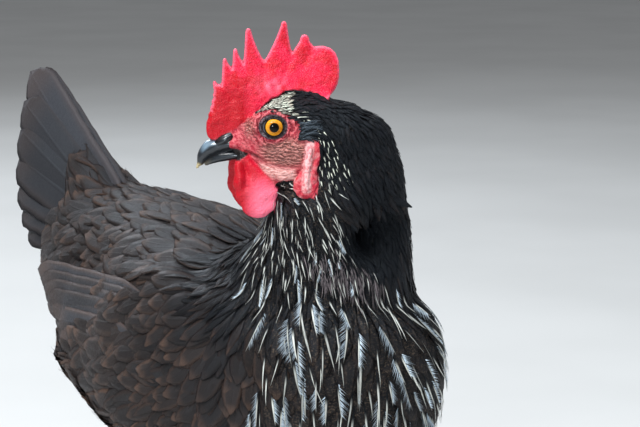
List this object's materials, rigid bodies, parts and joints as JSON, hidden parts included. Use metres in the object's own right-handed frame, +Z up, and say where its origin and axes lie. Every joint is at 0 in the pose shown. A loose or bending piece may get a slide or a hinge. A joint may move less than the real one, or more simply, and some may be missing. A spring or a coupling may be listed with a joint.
{
  "type": "chicken",
  "caption": "Life-size standing laying hen with dark plumage, its head turned back over its right shoulder; a still museum-style animal model.",
  "frame": {"origin": "on the floor, at the middle of the foot of the whole hen's box", "axes": "+Z is up; the hen's body faces -Y with its tail towards +Y; its right side is -X"},
  "size_m": [0.1668, 0.3268, 0.3767],
  "materials": {
    "body_feathers": "satin brown-black feathers with cream shaft streaks on the neck and breast",
    "flight_feathers": "satin dark brown-black wing and tail feathers with paler brown edges",
    "red_skin": "matt bright red bare skin with fine pimples",
    "lobe_skin": "soft pinkish-white bare skin",
    "horn": "polished dark horn, paler at the tip",
    "eye": "wet gloss, orange iris with a black pupil",
    "leg_scales": "satin slate-grey scales"
  },
  "bodies": {
    "root": {"bill_lower": "horn", "bill_upper": "horn", "claw_hind_left": "horn", "claw_hind_right": "horn", "claw_inner_left": "horn", "claw_inner_right": "horn", "claw_middle_left": "horn", "claw_middle_right": "horn", "claw_outer_left": "horn", "claw_outer_right": "horn", "comb": "red_skin", "earlobe_left": "lobe_skin", "earlobe_right": "lobe_skin", "eye_left": "eye", "eye_right": "eye", "foot_pad_left": "leg_scales", "foot_pad_right": "leg_scales", "head": "body_feathers", "neck_lower": "body_feathers", "neck_upper": "body_feathers", "shank_left": "leg_scales", "shank_right": "leg_scales", "tail_left": "flight_feathers", "tail_right": "flight_feathers", "thigh_left": "body_feathers", "thigh_right": "body_feathers", "toe_hind_left": "leg_scales", "toe_hind_right": "leg_scales", "toe_inner_left": "leg_scales", "toe_inner_right": "leg_scales", "toe_middle_left": "leg_scales", "toe_middle_right": "leg_scales", "toe_outer_left": "leg_scales", "toe_outer_right": "leg_scales", "trunk": "body_feathers", "wattle_left": "red_skin", "wattle_right": "red_skin", "wing_left": "flight_feathers", "wing_right": "flight_feathers"}
  },
  "joints": []
}
